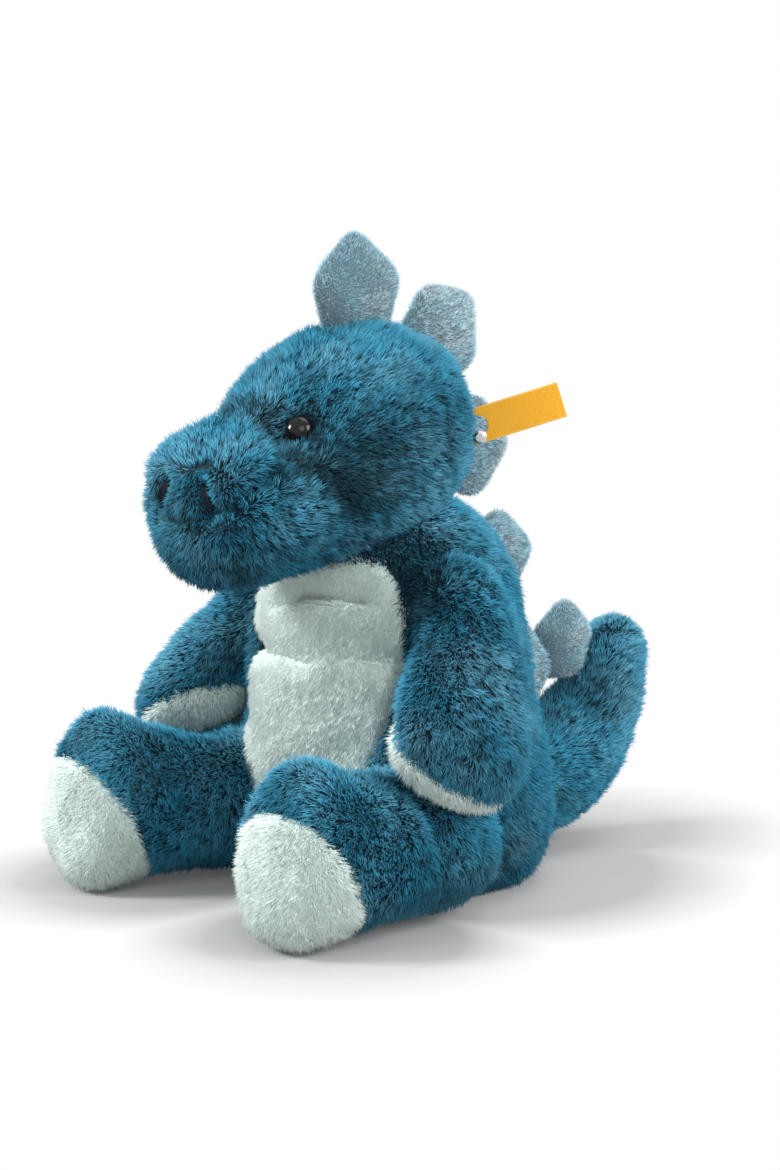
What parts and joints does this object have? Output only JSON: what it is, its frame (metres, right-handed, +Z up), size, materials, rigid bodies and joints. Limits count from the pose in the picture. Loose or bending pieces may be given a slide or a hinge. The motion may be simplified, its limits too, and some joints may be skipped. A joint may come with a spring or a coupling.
{
  "type": "plush night light",
  "caption": "Seated stuffed dinosaur with back plates and a battery push light behind its pale belly panel.",
  "frame": {"origin": "middle of the flat seat under the torso", "axes": "+Z up, -Y the way the toy faces, +X its left side"},
  "size_m": [0.2202, 0.2807, 0.2836],
  "materials": {
    "blue_plush": "matte",
    "mint_plush": "matte",
    "plate_plush": "matte",
    "eye_black": "gloss",
    "thread_black": "matte",
    "ribbon_yellow": "satin",
    "rivet_metal": "polished",
    "white_plastic": "satin",
    "milky_plastic": "satin",
    "clear_washer": "satin",
    "board_green": "satin",
    "led_white": "gloss",
    "switch_black": "satin",
    "steel": "satin",
    "cell_wrap": "gloss",
    "strip_grey": "matte",
    "lead_white": "satin"
  },
  "bodies": {
    "torso": {"torso": "blue_plush", "belly_panel": "mint_plush", "back_plate_1": "plate_plush", "back_plate_2": "plate_plush", "loop_strip": "strip_grey", "puck_base": "white_plastic", "puck_bezel": "white_plastic", "led_board": "board_green", "led_1": "led_white", "led_2": "led_white", "led_3": "led_white", "led_4": "led_white", "tact_switch": "switch_black", "puck_screw_1": "steel", "puck_screw_2": "steel", "battery_box": "white_plastic", "battery_cover": "white_plastic", "cover_screw": "steel", "cell_1": "cell_wrap", "cell_2": "cell_wrap", "cell_3": "cell_wrap", "contact_top": "steel", "contact_bottom": "steel", "light_lead": "lead_white"},
    "head": {"head": "blue_plush", "head_plate_1": "plate_plush", "head_plate_2": "plate_plush", "head_plate_3": "plate_plush", "eye_left": "eye_black", "eye_right": "eye_black", "eye_washer_left": "clear_washer", "eye_washer_right": "clear_washer", "nostril_left": "thread_black", "nostril_right": "thread_black"},
    "tag": {"tag_ribbon": "ribbon_yellow", "tag_rivet": "rivet_metal"},
    "arm_left": {"arm_left": "blue_plush", "paw_pad_left": "mint_plush"},
    "arm_right": {"arm_right": "blue_plush", "paw_pad_right": "mint_plush"},
    "leg_left": {"leg_left": "blue_plush", "sole_left": "mint_plush"},
    "leg_right": {"leg_right": "blue_plush", "sole_right": "mint_plush"},
    "tail": {"tail": "blue_plush", "tail_plate": "plate_plush"},
    "lens": {"push_lens": "milky_plastic", "switch_plunger": "steel"},
    "flap": {"access_flap": "blue_plush", "hook_strip": "strip_grey"}
  },
  "joints": [
    {"name": "head_turn", "type": "hinge", "parent": "torso", "child": "head", "pos_m": [0, 0, 0.117], "axis": [0, 0, 1], "range_deg": [-20, 20]},
    {"name": "tag_flex", "type": "hinge", "parent": "head", "child": "tag", "pos_m": [0.03293, 0.01436, 0.2], "axis": [0, 0, 1], "range_deg": [-20, 20], "stiffness_Nm_per_rad": 0.002},
    {"name": "arm_left_swing", "type": "hinge", "parent": "torso", "child": "arm_left", "pos_m": [0.046, -0.008, 0.138], "axis": [-1, 0, 0], "range_deg": [0, 30]},
    {"name": "arm_right_swing", "type": "hinge", "parent": "torso", "child": "arm_right", "pos_m": [-0.046, -0.008, 0.138], "axis": [-1, 0, 0], "range_deg": [0, 30]},
    {"name": "leg_left_splay", "type": "hinge", "parent": "torso", "child": "leg_left", "pos_m": [0.05, -0.02, 0.034], "axis": [0, 0, 1], "range_deg": [-6, 6]},
    {"name": "leg_right_splay", "type": "hinge", "parent": "torso", "child": "leg_right", "pos_m": [-0.05, -0.02, 0.034], "axis": [0, 0, -1], "range_deg": [-6, 6]},
    {"name": "tail_wag", "type": "hinge", "parent": "torso", "child": "tail", "pos_m": [0, 0.058, 0.036], "axis": [0, 0, 1], "range_deg": [-15, 15]},
    {"name": "lens_press", "type": "slide", "parent": "torso", "child": "lens", "axis": [0, 1, 0], "range_m": [0, 0.001], "stiffness_N_per_m": 1500, "springref_m": -0.0005},
    {"name": "flap_open", "type": "hinge", "parent": "torso", "child": "flap", "pos_m": [-0.0387, 0.03486, 0.13014], "axis": [0.6691, 0.7431, 0], "range_deg": [0, 100]}
  ]
}
